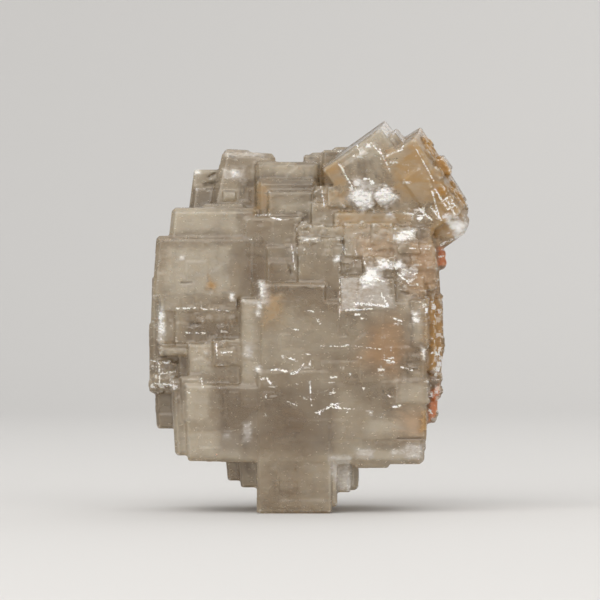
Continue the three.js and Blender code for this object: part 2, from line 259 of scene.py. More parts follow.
HAZY_ZONES = {
    "big veil": ((11.9, 49.6), (14.7, 47.4), (16.8, 40.4), (8.9, 40.4), (9.3, 44), (10.5, 47.4)),
    "left lump of the tilted crystal": ((7.2, 62), (9.3, 64.5), (12.6, 63.2), (12.6, 60), (10, 59.4)),
    "right lump of the tilted crystal": ((12.4, 62.4), (14.9, 65), (17.8, 62.2), (15.1, 59.7)),
    "block left of the big veil": block(6.1, 40.0, 9.5, 46.4),
    "veil beside the foot": ((3.9, 11.2), (8.1, 11.4), (8.5, 4.8), (5.9, 4.4), (4.3, 7.6)),
    "soft spot low on the left": block(-13.1, 14.2, -11.6, 17.8),
    "smaller soft spot": block(-16.8, 14.9, -15.7, 15.9),
    "lower right corner": block(18.6, 10.6, 22.4, 13.8),
    "left patch at the bottom right": block(9.1, 11.0, 12.5, 12.7),
    "middle patch at the bottom right": block(16.0, 11.6, 20.4, 12.6),
    "tilted crystal's tip": ((13.2, 76), (15.2, 77.4), (17.0, 75.2), (15.2, 74)),
    "patch on the top left block": block(-17.3, 66.0, -13.0, 68.2),
    "upper edge of the top left block": block(-17.0, 70.6, -9.0, 71.6),
    "top of the middle block": block(-10.0, 41.0, -8.0, 45.4),
    "step left of the middle block": block(-13.2, 40.8, -10.6, 42.0),
    "lowest part of the left step": block(-13.0, 30.6, -11.2, 33.6),
    "left edge of the left middle": block(-30.1, 33.4, -28.7, 40.8),
    "tilted crystal's foot": ((26.4, 58.8), (28.4, 59.2), (31.8, 57.2), (31.8, 55.2), (28.8, 54)),
    "flakes above the lumps": ((7.6, 66), (9.4, 66.4), (13.4, 64.6), (12.4, 63.4), (9.2, 64.4)),
    "right of the big veil's top": block(17.6, 46.4, 20.4, 48.4),
}
# Painted shade: zones made darker in recesses, corners and set-back faces where shade falls
PAINTED_SHADE_ZONES = {
    "beside the top middle block": block(-13.1, 60.8, -10.9, 66.0),
    "band across the top middle block": block(-7.6, 64.2, 1.3, 65.6),
    "corner left of the middle block": block(-13.7, 43.2, -10.2, 48.2),
    "set-back block low on the left": block(-34.0, 13.0, -27.0, 24.2),
    "recess under the left ledge": block(-29.6, 28.8, -24.0, 30.6),
    "recess right of it": block(-26.5, 22.6, -24.9, 28.4),
    "left of the foot": block(-16.4, 5.2, -12.2, 10.0),
    "face in the lower middle": block(-18.2, 12.0, 5.0, 25.0),
    "right of the middle": block(11.4, 27.8, 19.4, 38.2),
    "lower part of the upper left block": block(-23.6, 61.2, -17.8, 64.4),
    "two small blocks on the left": block(-24.4, 34.4, -17.0, 37.6),
    "shoulder's left side": block(4.8, 52.0, 6.6, 54.2),
    "spot left of the middle": block(-17.0, 47.2, -15.8, 48.6),
}
AMBER_STAINS = {
    "spot on the upper left face": ((-20.6, 44.2), (-19.9, 46.6), (-18.5, 45.4), (-18.7, 43.8)),
    "upper amber lump": ((24.6, 71), (26.1, 71), (28.7, 67.6), (27.5, 66), (25.3, 68.4)),
    "lower amber lump": block(24.9, 62.2, 27.3, 64.4),
    "along the side band": ((27.6, 67), (29.4, 64.4), (31.2, 61), (29.6, 60.4), (27, 65)),
    "tilted crystal's upper right edge": ((21.9, 76.4), (24.4, 74), (28.6, 67), (26.6, 66), (22.6, 73)),
    "right rim": ((23.6, 42.2), (24.8, 42.2), (26.5, 38.4), (26.5, 33), (25.4, 26.8), (23.8, 26.8)),
    "tilted crystal's foot": block(24.4, 54.2, 25.8, 55.8),
    "low on the right": block(21.8, 16.4, 23.2, 20.2),
}
WARM_TINTS = {
    "right of the shoulder": block(19.6, 43.6, 25.6, 53.6),
    "lower part of the shoulder": block(9.0, 50.0, 17.0, 54.6),
    "low on the right": block(17.9, 15.4, 22.7, 20.2),
    "right of the middle": ((9, 30), (12, 37), (17, 39), (19.5, 33), (17, 27)),
    "right side": block(24.0, 27.0, 26.0, 46.0),
}
HONEY_TINTS = {
    "tilted crystal's right part": ((18.3, 73.8), (22.1, 75.6), (28.8, 61), (17.3, 60.4), (15.3, 67)),
    "tilted crystal's right side": ((22.4, 77), (31.8, 60), (32.4, 55), (28.1, 53), (23.5, 55.5), (24, 68)),
    "tilted crystal's left corner": ((2.4, 68), (5.1, 69.8), (8, 65.4), (2.8, 64.2)),
    "under the tilted crystal": block(6.0, 56.6, 20.0, 59.6),
    "under the tilted crystal's left corner": block(3.0, 60.6, 7.6, 63.4),
    "middle block's olive tint": block(-8.7, 37.4, -6.0, 42.6),
    "olive column of the top middle block": block(-10.6, 59.8, -8.4, 64.8),
    "tilted crystal's middle": ((14.7, 72), (18.5, 72), (17.5, 69.6), (15.3, 67.8)),
    "right rim": block(23.0, 28.0, 26.6, 43.0),
}
RED_STAINS = {
    "rim low on the right": ((23.4, 17.6), (23.9, 23.8), (25.9, 26), (25.9, 22), (24.9, 18.6)),
    "lump": block(25.4, 48.8, 28.0, 52.4),
}
SUGARY_PLACES = {
    "left side": block(-31.4, 24.2, -26.6, 29.6),
    "tilted crystal's foot": ((26, 58.6), (30, 59), (31.4, 57), (28.6, 54.6), (26.6, 55)),
    "under the tilted crystal": block(19.2, 57.6, 24.0, 60.0),
    "above the lumps": block(8.2, 63.8, 12.8, 66.0),
    "tilted crystal's upper left": ((8.6, 70.6), (11.4, 73.8), (12.8, 72.4), (10, 69.2)),
    "right side": block(24.0, 26.0, 26.6, 43.0),
    "rim low on the right": block(23.6, 17.6, 26.0, 26.0),
    "shoulder": block(17.6, 45.0, 21.6, 48.6),
    "shoulder's right end": block(20.6, 39.6, 24.2, 42.6),
}
# Places where flakes are painted white as glints of light from inner flaws
GLINT_FLAW_PLACES = {
    "along the crack lines": block(-8.6, 18.6, 9.0, 31.0),
    "right of the middle": block(9.0, 26.4, 22.0, 39.6),
    "low on the right": block(9.0, 19.0, 20.0, 26.0),
    "shoulder": block(4.0, 44.0, 24.0, 57.6),
    "left middle": block(-22.0, 34.0, -12.0, 41.0),
    "high in the middle": block(-4.0, 50.0, 2.6, 58.6),
    "tilted crystal": ((6, 68), (16, 75), (28, 62), (20, 58), (8, 60)),
}
BROKEN_FACES = {
    "shoulder": block(5.0, 44.0, 25.0, 58.4),
    "high in the middle": block(-5.0, 49.0, 4.0, 59.0),
    "right strip": block(19.6, 27.0, 23.0, 42.0),
    "left middle": block(-28.0, 28.0, -14.0, 41.6),
    "under the tilted crystal's left corner": block(1.6, 58.6, 8.0, 64.4),
    "top left block": block(-17.6, 62.0, -11.0, 68.6),
}

# Cleavage cracks painted white as glints of light: from (x, z) to (x, z) and half width, in millimetres
BRIGHT_CRACKS = (
    (-7.5, 28.2, -6.0, 28.4, 0.16),
    (-6.0, 28.4, -4.4, 27.9, 0.22),
    (-3.6, 27.5, -2.4, 27.9, 0.2),
    (-2.4, 27.9, -1.2, 29.4, 0.14),
    (-4.0, 30.6, -2.6, 30.1, 0.2),
    (-9.6, 26.4, -8.4, 26.6, 0.2),
    (-8.4, 26.6, -7.6, 25.4, 0.18),
    (3.0, 20.6, 4.2, 21.2, 0.18),
    (4.2, 21.5, 5.8, 21.5, 0.24),
    (4.6, 20.9, 8.0, 20.5, 0.14),
    (0.9, 19.8, 2.6, 20.1, 0.14),
    (14.6, 30.2, 16.6, 29.8, 0.14),
    (18.0, 28.8, 20.2, 28.2, 0.16),
    (16.6, 38.4, 18.0, 37.8, 0.16),
    (16.6, 37.4, 18.4, 37.4, 0.1),
    (7.0, 40.0, 12.4, 40.3, 0.16),
    (8.7, 41.3, 12.4, 41.1, 0.26),
    (12.4, 41.1, 15.5, 40.7, 0.2),
    (14.0, 43.4, 15.4, 40.8, 0.2),
    (12.6, 46.4, 14.6, 45.6, 0.16),
    (13.8, 49.4, 16.0, 48.2, 0.2),
    (15.4, 49.8, 17.2, 48.0, 0.2),
    (17.4, 47.2, 19.4, 45.4, 0.2),
    (18.0, 48.2, 19.8, 47.4, 0.14),
    (26.0, 52.9, 28.6, 54.2, 0.2),
    (2.6, 68.6, 14.6, 77.0, 0.1),
    (15.2, 70.4, 18.2, 71.6, 0.12),
    (18.2, 71.6, 18.8, 74.4, 0.12),
    (12.0, 73.0, 14.6, 70.0, 0.1),
    (9.0, 73.4, 10.0, 70.6, 0.14),
    (26.2, 61.6, 27.6, 62.4, 0.1),
    (27.6, 62.4, 28.6, 60.6, 0.1),
    (28.6, 60.6, 27.2, 59.8, 0.1),
    (27.2, 59.8, 26.2, 61.6, 0.1),
    (24.0, 63.6, 25.4, 58.6, 0.12),
    (20.4, 72.6, 24.4, 65.4, 0.08),
    (25.6, 50.6, 26.8, 50.7, 0.14),
    (26.2, 52.0, 27.4, 51.8, 0.12),
    (28.6, 54.2, 31.6, 55.7, 0.24),
    (23.8, 60.4, 26.0, 57.6, 0.16),
    (24.6, 63.8, 26.6, 60.6, 0.16),
    (27.0, 61.6, 28.6, 58.8, 0.14),
    (-31.2, 29.8, -27.0, 29.4, 0.14),
    (-29.5, 27.4, -26.8, 27.8, 0.2),
    (-30.6, 25.4, -27.4, 25.2, 0.18),
    (-29.9, 29.6, -29.8, 25.0, 0.12),
    (16.4, 21.0, 17.8, 21.2, 0.18),
    (19.6, 52.2, 23.8, 52.0, 0.1),
    (-24.9, 35.6, -20.6, 35.5, 0.1),
    (-26.4, 40.3, -22.6, 40.4, 0.14),
    (-21.6, 40.2, -16.0, 39.9, 0.1),
    (-4.4, 22.0, -2.6, 21.2, 0.12),
    (0.1, 25.2, 0.3, 21.2, 0.1),
    (5.9, 46.2, 5.9, 38.2, 0.1),
    (-3.6, 53.0, -2.9, 48.0, 0.12),
    (5.7, 69.0, 8.4, 64.4, 0.16),
    (13.6, 72.0, 15.8, 67.4, 0.12),
    (18.2, 59.2, 22.4, 58.6, 0.12),
    (21.4, 60.2, 24.0, 57.8, 0.18),
    (-10.6, 58.8, -8.0, 59.0, 0.18),
    (-8.0, 58.4, -5.6, 57.8, 0.14),
    (2.0, 33.0, 7.0, 32.9, 0.07),
    (7.0, 33.2, 14.8, 32.2, 0.08),
    (-0.4, 39.8, 1.0, 39.7, 0.12),
    (2.0, 39.6, 3.2, 39.8, 0.08),
    (1.5, 38.2, 2.0, 37.4, 0.2),
    (10.0, 38.3, 11.0, 38.3, 0.16),
    (15.4, 23.2, 15.8, 23.0, 0.16),
    (-3.2, 36.2, -2.2, 36.1, 0.12),
    (-21.4, 26.6, -21.0, 24.6, 0.14),
    (-24.0, 24.0, -23.6, 23.6, 0.14),
    (6.6, 52.4, 7.0, 51.0, 0.16),
    (9.0, 52.0, 9.2, 50.8, 0.12),
    (10.9, 49.0, 10.5, 50.2, 0.12),
    (-12.0, 54.0, -10.4, 53.9, 0.1),
    (2.2, 64.6, 2.9, 60.6, 0.12),
    (3.4, 72.6, 6.4, 71.6, 0.14),
    (-17.4, 31.6, -15.2, 31.8, 0.12),
    (-18.4, 33.6, -18.2, 30.6, 0.12),
    (26.6, 66.4, 28.0, 64.0, 0.14),
    (27.6, 61.4, 29.0, 60.2, 0.12),
)
DARK_CRACKS = (
    (-21.0, 65.2, -18.4, 65.6, 0.22),
    (-20.2, 66.6, -18.8, 67.4, 0.16),
    (-20.6, 64.2, -18.2, 64.3, 0.12),
    (-23.6, 37.2, -21.8, 37.3, 0.24),
    (-25.4, 45.4, -23.4, 45.5, 0.1),
    (-4.0, 48.6, -3.6, 47.4, 0.14),
    (18.2, 43.5, 19.4, 43.3, 0.16),
    (17.2, 14.7, 22.6, 14.8, 0.1),
    (-15.8, 70.8, -15.0, 70.4, 0.2),
)

# Blocks too small for the solid: lowest and highest corner, in millimetres
SMALL_BLOCKS = {
    "lower end of the upper left face": ((-29.4, -16.8, 39.9), (-14.4, -12, 43.2)),
    "corner left of the middle block": ((-11.4, -16.6, 41.4), (-9.2, -12, 44.6)),
    "under the tilted crystal's left corner": ((0.4, -15.6, 56.2), (8.2, -2, 61.2)),
    "beside it": ((3.6, -16.2, 60.4), (8.8, -2, 64.4)),
    "grey box left of the big veil": ((6.1, -20.7, 39.9), (9.5, -16, 46.4)),
    "big veil's block": ((9.3, -20.4, 40.3), (16.4, -16, 45.6)),
    "top of the big veil": ((10.9, -20.0, 45.4), (14.4, -16, 48.6)),
    "yellowish block of the shoulder": ((12.1, -19.2, 53.2), (16.3, -16, 57.2)),
    "small block of the shoulder": ((17.6, -19.6, 51.2), (21.4, -16, 53.0)),
    "ledge high in the middle": ((-1.9, -20.1, 53.5), (2.1, -17, 54.5)),
    "step of the top left block": ((-17.2, -8.8, 62.0), (-14.8, -6, 63.6)),
    "pale step on the right": ((20.3, -19.9, 33.2), (22.4, -16, 41.8)),
    "block low on the right": ((17.1, -20.3, 21.5), (22.7, -16, 25.9)),
}

# The same on the tilted crystal, turned as it is: middle and sides, in millimetres
SMALL_TILTED_BLOCKS = {
    "right lump": ((14.5, -16.9, 62.6), (3.1, 3.4, 3.1)),
    "left lump": ((10.2, -15.9, 62.6), (3.6, 3.6, 2.6)),
    "lower part of the left lump": ((11.4, -16.1, 61.6), (3.0, 3.2, 3.0)),
    "square low on the right": ((27.3, -18.1, 61.0), (2.2, 2.4, 2.0)),
    "brown square": ((25.5, -18.3, 63.4), (2.8, 2.6, 2.4)),
    "upper amber lump": ((26.2, -12.6, 68.4), (2.8, 5.0, 3.2)),
    "amber strip on the side": ((28.8, -8.0, 63.2), (2.4, 4.4, 4.0)),
}

# Where crumbs sit: corners (x, z), how many, longest side in millimetres
CRUMBLY_PLACES = {
    "left side": (block(-31.6, 23.8, -26.4, 29.8), 46, 1.3),
    "tilted crystal's foot": (((25, 60), (29, 60.4), (31.4, 57), (28.1, 53.8), (25, 54)), 60, 1.2),
    "tilted crystal's right part": (((23, 66.6), (25.4, 67.4), (29.4, 60.4), (24.4, 59.6)), 26, 1.0),
    "above the lumps": (((7.6, 66), (9.4, 66.4), (13.4, 64.6), (12.4, 63.4), (9.2, 64.4)), 22, 0.8),
    "crumbs above the big veil": (block(13.3, 48.0, 18.3, 50.2), 24, 1.1),
    "right of the big veil's top": (block(17.6, 45.4, 21.0, 48.6), 22, 1.1),
    "under the tilted crystal": (block(16.7, 53.2, 21.1, 56.3), 20, 1.1),
    "tilted crystal's side": (((21.6, 76.4), (24, 74), (31.4, 60.6), (29, 59.6), (22.8, 70.6)), 130, 1.7),
    "shoulder": (block(5.0, 48.0, 24.6, 57.8), 90, 1.5),
    "shoulder's right end": (block(19.6, 39.6, 25.0, 46.0), 40, 1.2),
    "high in the middle": (block(-3.0, 51.0, 3.6, 58.6), 26, 1.3),
    "right rim": (block(23.6, 26.0, 26.6, 43.0), 60, 1.2),
    "rim low on the right": (block(23.2, 17.4, 26.2, 26.0), 34, 1.0),
    "left middle": (block(-22.0, 29.0, -14.0, 40.0), 26, 1.4),
    "below the tilted crystal's left corner": (block(0.6, 60.0, 8.4, 64.4), 24, 1.2),
}


def turn_of_tilted():
    """The rotation from the tilted crystal's own axes to the specimen's."""
    roll = Matrix.Rotation(math.radians(-TILTED_ROLL), 3, "Y")
    yaw = Matrix.Rotation(math.radians(-TILTED_YAW), 3, "Z")
    pitch = Matrix.Rotation(math.radians(TILTED_PITCH), 3, "X")
    return roll @ yaw @ pitch


def vertex_arrays(mesh):
    """Places and normals of the mesh's vertices."""
    count = len(mesh.vertices)
    places = np.zeros(count * 3, np.float32)
    mesh.vertices.foreach_get("co", places)
    normals = np.zeros(count * 3, np.float32)
    mesh.vertex_normals.foreach_get("vector", normals)
    return places.reshape(-1, 3).astype(float), normals.reshape(-1, 3).astype(float)


def move_vertices(mesh, places):
    """Puts the mesh's vertices at the given places."""
    mesh.vertices.foreach_set("co", places.ravel().astype(np.float32))
    mesh.update()


def apply_modifiers(piece):
    """Works the piece's modifiers into its mesh."""
    graph = bpy.context.evaluated_depsgraph_get()
    mesh = bpy.data.meshes.new_from_object(piece.evaluated_get(graph))
    old = piece.data
    piece.modifiers.clear()
    piece.data = mesh
    bpy.data.meshes.remove(old)


def add_box(form, middle, size, turn):
    """Puts one box with its middle, sides and turn into the form, in millimetres."""
    place = Matrix.Translation(Vector(middle) * MM) @ turn.to_4x4()
    scale = Matrix.Diagonal((size[0] * MM, size[1] * MM, size[2] * MM, 1))
    bmesh.ops.create_cube(form, size=1, matrix=place @ scale)


def outline_distance(x, z, corners):
    """Distance of each place to an outline, minus inside it."""
    nearest = np.full(len(x), np.inf)
    inside = np.zeros(len(x), bool)
    for (x0, z0), (x1, z1) in zip(corners, corners[1:] + corners[:1]):
        run, rise = x1 - x0, z1 - z0
        along = np.clip(((x - x0) * run + (z - z0) * rise) / (run * run + rise * rise), 0, 1)
        nearest = np.minimum(nearest, np.hypot(x - x0 - along * run, z - z0 - along * rise))
        if rise:
            crossed = (z0 > z) != (z1 > z)
            inside ^= crossed & (x < x0 + (z - z0) * run / rise)
    return np.where(inside, -nearest, nearest)


def add_crumbs(form, surface, corners, count, longest, rng):
    """Scatters small cubes over the front of one place, each sunk into the face for the most part."""
    outline = np.array(corners)
    on_tilted = outline[:, 1].mean() > TILTED_ABOVE or outline[:, 0].mean() > TILTED_RIGHT_OF
    turn = turn_of_tilted() if on_tilted else Matrix.Identity(3)
    for _ in range(count):
        x, z = rng.uniform(outline.min(0), outline.max(0))
        if outline_distance(np.array([x]), np.array([z]), corners)[0] > 0:
            continue
        hit = surface.ray_cast(Vector((x * MM, WELL_IN_FRONT, z * MM)), Vector((0, 1, 0)))[0]
        if hit is None:
            continue
        size = rng.uniform(SHORTEST_SIDE, 1.0, 3) * longest
        front = hit.y / MM - rng.uniform(LEAST_STAND, 1.0) * CRUMB_STAND
        add_box(form, (x, front + size[1] / 2, z), size, turn)


def fine_copy(name):
    """The solid's form with its smallest blocks and crumbs, as a new piece with a fine, even surface."""
    form = bmesh.new()
    form.from_mesh(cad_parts[NODE].data)
    for low, high in SMALL_BLOCKS.values():
        low, high = np.array(low), np.array(high)
        add_box(form, (low + high) / 2, high - low, Matrix.Identity(3))
    for middle, size in SMALL_TILTED_BLOCKS.values():
        add_box(form, middle, size, turn_of_tilted())
    surface = BVHTree.FromBMesh(form)
    rng = np.random.default_rng(CRUMB_SEED)
    for corners, count, longest in CRUMBLY_PLACES.values():
        add_crumbs(form, surface, corners, count, longest, rng)
    mesh = bpy.data.meshes.new(name)
    form.to_mesh(mesh)
    form.free()
    piece = bpy.data.objects.new(name, mesh)
    bpy.context.scene.collection.objects.link(piece)
    remesh = piece.modifiers.new("even surface", "REMESH")
    remesh.mode = "VOXEL"
    remesh.voxel_size = VOXEL * MM
    rounding = piece.modifiers.new("dissolved edges", "SMOOTH")
    rounding.factor = 0.5
    rounding.iterations = ROUNDING_STEPS
    apply_modifiers(piece)
    return piece


def growth_steps(places, normals, axes, side, count, seed, sizes, where=None):
    """Small straight-sided terraces on the faces of one side: how far each vertex moves outwards."""
    smallest, largest, highest = sizes
    axis, direction = side
    rng = np.random.default_rng(seed)
    local = places @ axes
    facing = (normals @ axes)[:, axis] * direction > SQUARE_ON
    if where is not None:
        facing &= where
    chosen = np.flatnonzero(facing)
    rise = np.zeros(len(places))
    if len(chosen) == 0:
        return rise
    depth = local[chosen, axis]
    across, up = (local[chosen, other] for other in range(3) if other != axis)
    for _ in range(count):
        anchor = rng.integers(len(chosen))
        half_across = smallest * (largest / smallest) ** rng.random() * MM
        half_up = half_across * rng.uniform(*SLENDERNESS)
        if rng.random() < UPRIGHT_SHARE:
            half_across, half_up = half_up, half_across
        inside = np.abs(across - across[anchor]) < half_across
        inside &= np.abs(up - up[anchor]) < half_up
        inside &= np.abs(depth - depth[anchor]) < SAME_FACE * MM
        rise[chosen[inside]] += rng.choice([-1, 1]) * rng.uniform(LEAST_RISE, 1) * highest * MM
    return np.clip(rise, -STEP_LIMIT * MM, STEP_LIMIT * MM)


def add_growth_steps(mesh):
    """Covers every face of the crystal with small terraces, and broken ones with many more."""
    places, normals = vertex_arrays(mesh)
    straight = np.eye(3)
    tilted = np.array(turn_of_tilted())
    moves = np.zeros_like(places)
    for number, (side, count) in enumerate(STEP_COUNTS.items()):
        axis, direction = side
        for offset, (axes, share) in enumerate(((straight, 1.0), (tilted, TILTED_STEP_SHARE))):
            seed = SIDE_SEED * number + offset
            rise = growth_steps(places, normals, axes, side, int(count * share), seed, STEPS)
            moves += np.outer(rise, axes[:, axis] * direction)
    broken = marked(places, BROKEN_FACES, MARK_REACH) > 0.5
    moves[:, 1] -= growth_steps(
        places, normals, straight, FRONT, BROKEN_STEP_COUNT, BROKEN_SEED, SMALL_STEPS, broken
    )
    move_vertices(mesh, places + moves)


def convexity(mesh):
    """How far each vertex stands out of its neighbours, in metres: plus on edges, minus in corners."""
    places, normals = vertex_arrays(mesh)
    edges = np.zeros(len(mesh.edges) * 2, np.int32)
    mesh.edges.foreach_get("vertices", edges)
    a, b = edges.reshape(-1, 2).T
    out = np.zeros(len(places))
    for _ in range(EDGE_HIGHLIGHT_PASSES):
        total = np.zeros_like(places)
        number = np.zeros(len(places))
        for first, second in ((a, b), (b, a)):
            np.add.at(total, first, places[second])
            np.add.at(number, first, 1)
        mean = total / number[:, None]
        out += np.einsum("ij,ij->i", places - mean, normals)
        places = mean
    return out


def thin_out(piece):
    """Leaves the piece fewer triangles, most of all where it doesn't look forward."""
    mesh = piece.data
    _, normals = vertex_arrays(mesh)
    forward = np.clip((-normals[:, 1] - THIN_BELOW) * 2, 0, 1)
    grade = np.round((1 - forward) * THIN_LEVELS).astype(int)
    group = piece.vertex_groups.new(name="thin")
    for level in range(1, THIN_LEVELS + 1):
        group.add(np.flatnonzero(grade == level).tolist(), level / THIN_LEVELS, "REPLACE")
    triangles = sum(len(face.vertices) - 2 for face in mesh.polygons)
    thin = piece.modifiers.new("thin", "DECIMATE")
    thin.vertex_group = group.name
    thin.vertex_group_factor = THIN_STRENGTH
    thin.ratio = FACE_LIMIT / triangles
    apply_modifiers(piece)
    piece.vertex_groups.clear()


def add_point_field(mesh, name, values):
    """A number on each vertex, which the material reads by name."""
    field = mesh.attributes.new(name, "FLOAT", "POINT")
    field.data.foreach_set("value", values.astype(np.float32))


def marked(places, outlines, reach, deepest=MARK_DEPTH):
    """1 well inside the outlines, 0.5 on them and 0 well outside or deeper than told."""
    x, y, z = places.T / MM
    nearest = np.full(len(places), np.inf)
    for corners in outlines.values():
        nearest = np.minimum(nearest, outline_distance(x, z, corners))
    return np.clip(0.5 - nearest / (2 * reach), 0, 1) * np.clip((deepest - y) / DEPTH_FADE, 0, 1)


def line_field(places, normals, lines):
    """1 in the middle of each line and 0 a little way beyond its half width, on faces that look forward."""
    x, z = places[:, 0] / MM, places[:, 2] / MM
    field = np.zeros(len(places))
    for x0, z0, x1, z1, half_width in lines:
        length = math.hypot(x1 - x0, z1 - z0)
        along = ((x - x0) * (x1 - x0) + (z - z0) * (z1 - z0)) / length
        nearest = np.clip(along, 0, length)
        off_x = x - x0 - nearest * (x1 - x0) / length
        off_z = z - z0 - nearest * (z1 - z0) / length
        distance = np.hypot(off_x, off_z) - half_width
        field = np.maximum(field, np.clip(0.5 - distance / LINE_REACH, 0, 1))
    return field * (normals[:, 1] < -LOOKS_FORWARD)


def sink_dark_cracks(mesh):
    """Opens the dark cracks as real gaps in the surface."""
    places, normals = vertex_arrays(mesh)
    places[:, 1] += line_field(places, normals, DARK_CRACKS) * CRACK_DEPTH * MM
    move_vertices(mesh, places)


def beyond_front(places):
    """0 on the half that the marks describe, 1 on the half behind it."""
    return np.clip((places[:, 1] / MM - MARK_DEPTH + DEPTH_FADE) / BEYOND_FADE, 0, 1)


def add_marks(mesh):
    """Stores where the veils, stains, cracks, painted light and painted shade are."""
    places, normals = vertex_arrays(mesh)
    marks = {
        "veil": (WHITE_VEILS, MARK_REACH, MARK_DEPTH),
        "sugar": (SUGARY_PLACES, MARK_REACH, MARK_DEPTH),
        "amber": (AMBER_STAINS, MARK_REACH, STAIN_DEPTH),
        "red": (RED_STAINS, MARK_REACH, STAIN_DEPTH),
        # painted light and painted shade
        "pale": (PAINTED_LIGHT_ZONES, ZONE_REACH, MARK_DEPTH),
        "dark": (PAINTED_SHADE_ZONES, ZONE_REACH, MARK_DEPTH),
        "warm": (WARM_TINTS, ZONE_REACH, STAIN_DEPTH),
        "honey": (HONEY_TINTS, ZONE_REACH, STAIN_DEPTH),
        "haze": (HAZY_ZONES, MARK_REACH, MARK_DEPTH),
        "flawed": (GLINT_FLAW_PLACES, ZONE_REACH, MARK_DEPTH),
    }
    for name, (outlines, reach, deepest) in marks.items():
        add_point_field(mesh, name, marked(places, outlines, reach, deepest))
    # cracks painted white as glints of light
    add_point_field(mesh, "bright_crack", line_field(places, normals, BRIGHT_CRACKS))
    add_point_field(mesh, "dark_crack", line_field(places, normals, DARK_CRACKS))
    add_point_field(mesh, "beyond", beyond_front(places))


class Nodes:
    """Short ways to add shader nodes and link them."""

    def __init__(self, name):
        self.material = bpy.data.materials.new(name)
        self.material.use_nodes = True
        self.tree = self.material.node_tree
        self.tree.nodes.clear()

    def add(self, kind, **settings):
        node = self.tree.nodes.new(kind)
        for key, value in settings.items():
            setattr(node, key, value)
        return node

    def link(self, source, target):
        self.tree.links.new(source, target)

    def put(self, value, socket):
        """Links a socket, or sets a plain value."""
        if isinstance(value, bpy.types.NodeSocket):
            self.link(value, socket)
        else:
            socket.default_value = value

    def math(self, operation, *values):
        node = self.add("ShaderNodeMath", operation=operation)
        for value, socket in zip(values, node.inputs):
            self.put(value, socket)
        return node.outputs[0]

    def times(self, a, b):
        return self.math("MULTIPLY", a, b)

    def minus(self, a, b):
        return self.math("SUBTRACT", a, b)

    def most(self, first, *others):
        """The largest of the values."""
        for other in others:
            first = self.math("MAXIMUM", first, other)
        return first

    def stretched(self, value, low, high, to_low=0.0, to_high=1.0):
        """The value brought from one range to another by a smooth step, held at both ends."""
        node = self.add("ShaderNodeMapRange", interpolation_type="SMOOTHSTEP")
        self.put(value, node.inputs["Value"])
        node.inputs["From Min"].default_value = low
        node.inputs["From Max"].default_value = high
        node.inputs["To Min"].default_value = to_low
        node.inputs["To Max"].default_value = to_high
        return node.outputs["Result"]

    def field(self, name):
        """A number that the mesh has on each vertex."""
        return self.add("ShaderNodeAttribute", attribute_name=name).outputs["Fac"]

    def blend(self, amount, a, b):
        """The colour a where the amount is 0, and b where it is 1."""
        node = self.add("ShaderNodeMix", data_type="RGBA")
        self.put(amount, node.inputs["Factor"])
        self.put(a, node.inputs[6])
        self.put(b, node.inputs[7])
        return node.outputs[2]

    def noise(self, place, scale, detail, roughness, distortion):
        node = self.add("ShaderNodeTexNoise")
        self.link(place, node.inputs["Vector"])
        node.inputs["Scale"].default_value = scale
        node.inputs["Detail"].default_value = detail
        node.inputs["Roughness"].default_value = roughness
        node.inputs["Distortion"].default_value = distortion
        return node.outputs["Fac"]

    def spread(self, place, x, y, z):
        """The place, stretched along each axis."""
        node = self.add("ShaderNodeVectorMath", operation="MULTIPLY")
        self.link(place, node.inputs[0])
        node.inputs[1].default_value = (x, y, z)
        return node.outputs[0]

    def cells(self, place, spacing, randomness=1.0):
        """Box-shaped cells: the distance to the middle of each, and three random numbers for it."""
        node = self.add("ShaderNodeTexVoronoi", feature="F1", distance="CHEBYCHEV")
        self.link(self.spread(place, *spacing), node.inputs["Vector"])
        node.inputs["Scale"].default_value = 1.0
        node.inputs["Randomness"].default_value = randomness
        numbers = self.add("ShaderNodeSeparateColor")
        self.link(node.outputs["Color"], numbers.inputs["Color"])
        return node.outputs["Distance"], numbers.outputs


def flakes(n, place, spacing, share, grit, largest):
    """Small bright flakes at random, each in a cell of its own. The share says how many cells have one."""
    distance, (chance, bulk, light) = n.cells(place, spacing)
    ragged = n.math("MULTIPLY_ADD", n.minus(grit, 0.5), FLAKE_RAGGEDNESS, distance)
    size = n.math("MULTIPLY_ADD", bulk, largest - SMALLEST_FLAKE, SMALLEST_FLAKE)
    core = n.stretched(n.minus(ragged, size), FLAKE_EDGE, -FLAKE_EDGE)
    chosen = n.stretched(n.minus(chance, n.minus(1.0, share)), 0.0, 0.01)
    strength = n.math("MULTIPLY_ADD", light, 1 - FAINTEST_FLAKE, FAINTEST_FLAKE)
    return n.times(n.times(core, chosen), strength)


def mosaic(n, place, spacing):
    """Blocks of slightly different brightness, as salt cubes that grew side by side have."""
    _, numbers = n.cells(place, spacing, BLOCK_RANDOMNESS)
    return numbers[0]


def salt_patterns(n):
    """The noises and blocks that everything on the salt is varied and broken up with."""
    place = n.add("ShaderNodeTexCoord").outputs["Object"]
    patterns = {"place": place}
    for name, (scale, closer, detail, roughness, distortion) in NOISES.items():
        stretched_place = n.spread(place, 1, 1, closer)
        patterns[name] = n.noise(stretched_place, scale, detail, roughness, distortion)
    drift = n.minus(patterns["drift"], 0.5)
    patterns["uneven"] = n.math("MULTIPLY_ADD", n.minus(patterns["fine"], 0.5), FINE_SHARE, drift)
    patterns["large blocks"] = mosaic(n, place, LARGE_BLOCK_CELLS)
    patterns["small blocks"] = mosaic(n, place, SMALL_BLOCK_CELLS)
    return patterns


